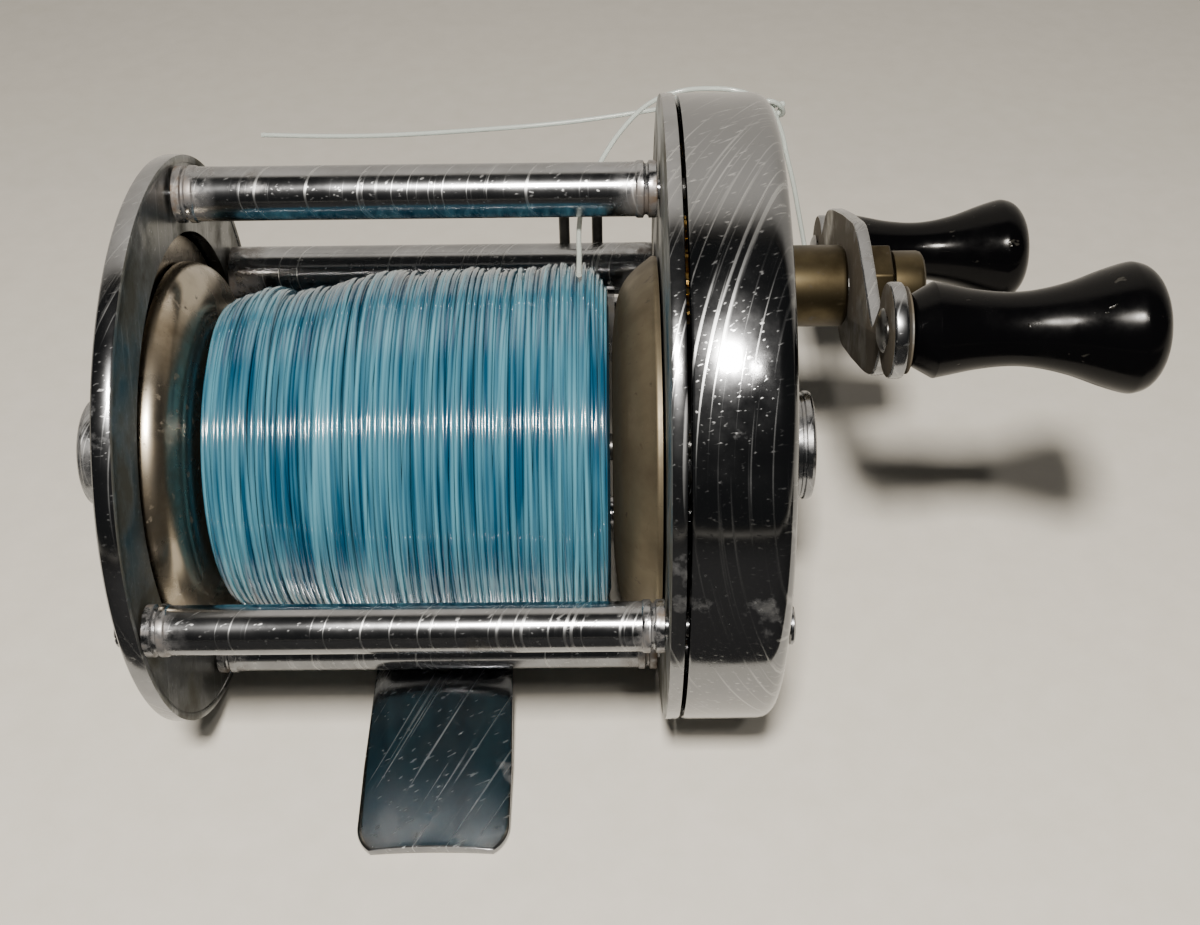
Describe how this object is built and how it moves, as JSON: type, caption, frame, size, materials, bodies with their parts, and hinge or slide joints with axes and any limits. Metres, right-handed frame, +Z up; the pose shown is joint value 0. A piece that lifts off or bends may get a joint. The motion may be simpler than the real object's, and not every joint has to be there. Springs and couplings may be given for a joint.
{
  "type": "trolling reel",
  "caption": "Level-wind trolling reel with chromed side plates and pillars, geared double-handled crank, filled spool, sliding line guide and stamped foot.",
  "frame": {"origin": "on the surface that the plates and the foot stand on, under the middle of the spool's spindle", "axes": "+X along the spool spindle towards the crank, -Y towards the angler, +Z up"},
  "size_m": [0.1119, 0.0795, 0.0676],
  "materials": {
    "chrome": "worn polished chrome plating",
    "nickel": "nickel plating, yellowed and grimy",
    "dull_nickel": "dull tarnished nickel plating",
    "brass": "machined brass with dried oil",
    "bronze": "sintered bronze",
    "steel": "turned steel",
    "dark_wire": "darkened steel wire",
    "black_plastic": "glossy black moulded plastic",
    "blue_line": "translucent blue nylon monofilament",
    "clear_line": "clear pale nylon monofilament"
  },
  "bodies": {
    "root": {"bottom_front_pillar": "chrome", "bottom_front_pillar_head_screw": "chrome", "bottom_front_pillar_tail_screw": "chrome", "bottom_rear_pillar": "chrome", "bottom_rear_pillar_head_screw": "chrome", "bottom_rear_pillar_tail_screw": "chrome", "click_spring": "steel", "crank_bush": "dull_nickel", "foot": "chrome", "foot_screw_front": "steel", "foot_screw_rear": "steel", "gear_housing": "chrome", "guide_rod": "chrome", "head_bearing_bush": "bronze", "head_hub": "nickel", "head_plate": "chrome", "line_end": "clear_line", "line_tag": "clear_line", "rear_pillar": "chrome", "rear_pillar_head_screw": "chrome", "rear_pillar_tail_screw": "chrome", "tail_bearing_bush": "bronze", "tail_hub": "nickel", "tail_inner_disc": "dull_nickel", "tail_plate": "chrome", "top_pillar": "chrome", "top_pillar_head_screw": "chrome", "top_pillar_tail_screw": "chrome", "worm_bush_head": "bronze", "worm_bush_tail": "bronze", "worm_tube": "chrome"},
    "spool": {"spool_spindle": "steel", "spool_arbor": "nickel", "flange_left": "nickel", "flange_right": "nickel", "line_pack": "blue_line", "spool_pinion": "brass", "click_gear": "brass"},
    "crank": {"crank_shaft": "steel", "drive_gear": "brass", "worm_pinion": "brass", "crank_arm": "chrome", "crank_nut": "dull_nickel", "crank_cap": "dull_nickel", "near_knob_pin": "steel", "far_knob_pin": "steel", "near_knob_washer": "steel", "far_knob_washer": "steel"},
    "near_knob": {"near_knob": "black_plastic"},
    "far_knob": {"far_knob": "black_plastic"},
    "worm": {"worm_shaft": "steel", "worm_gear": "brass"},
    "carriage": {"carriage": "chrome", "level_wind_pawl": "brass", "pawl_cap": "chrome", "line_guide": "dark_wire"},
    "click": {"click_button": "chrome", "click_pawl": "steel"},
    "tail_cap": {"tail_cap": "chrome"},
    "head_cap": {"head_cap": "chrome"}
  },
  "joints": [
    {"name": "crank_turn", "type": "hinge", "parent": "root", "child": "crank", "pos_m": [0.048, 0.01639, 0.04], "axis": [1, 0, 0], "continuous": true},
    {"name": "spool_turn", "type": "hinge", "parent": "root", "child": "spool", "pos_m": [0, 0, 0.03], "axis": [1, 0, 0], "continuous": true},
    {"name": "worm_turn", "type": "hinge", "parent": "root", "child": "worm", "pos_m": [0, 0.02541, 0.03672], "axis": [1, 0, 0], "continuous": true},
    {"name": "near_knob_spin", "type": "hinge", "parent": "crank", "child": "near_knob", "pos_m": [0.06, -0.00724, 0.05072], "axis": [1, 0, 0], "continuous": true},
    {"name": "far_knob_spin", "type": "hinge", "parent": "crank", "child": "far_knob", "pos_m": [0.06, 0.04002, 0.02928], "axis": [1, 0, 0], "continuous": true},
    {"name": "carriage_travel", "type": "slide", "parent": "root", "child": "carriage", "axis": [1, 0, 0], "range_m": [-0.0341, 0]},
    {"name": "click_slide", "type": "slide", "parent": "root", "child": "click", "axis": [0, 1, 0], "range_m": [0, 0.002]},
    {"name": "tail_cap_turn", "type": "hinge", "parent": "root", "child": "tail_cap", "pos_m": [-0.036, 0, 0.03], "axis": [1, 0, 0], "range_deg": [-180, 180]},
    {"name": "head_cap_turn", "type": "hinge", "parent": "root", "child": "head_cap", "pos_m": [0.04, 0, 0.03], "axis": [1, 0, 0], "range_deg": [-180, 180]}
  ],
  "couplings": [
    {"joint": "spool_turn", "follows": "crank_turn", "ratio": -3},
    {"joint": "worm_turn", "follows": "crank_turn", "ratio": -0.68421}
  ]
}
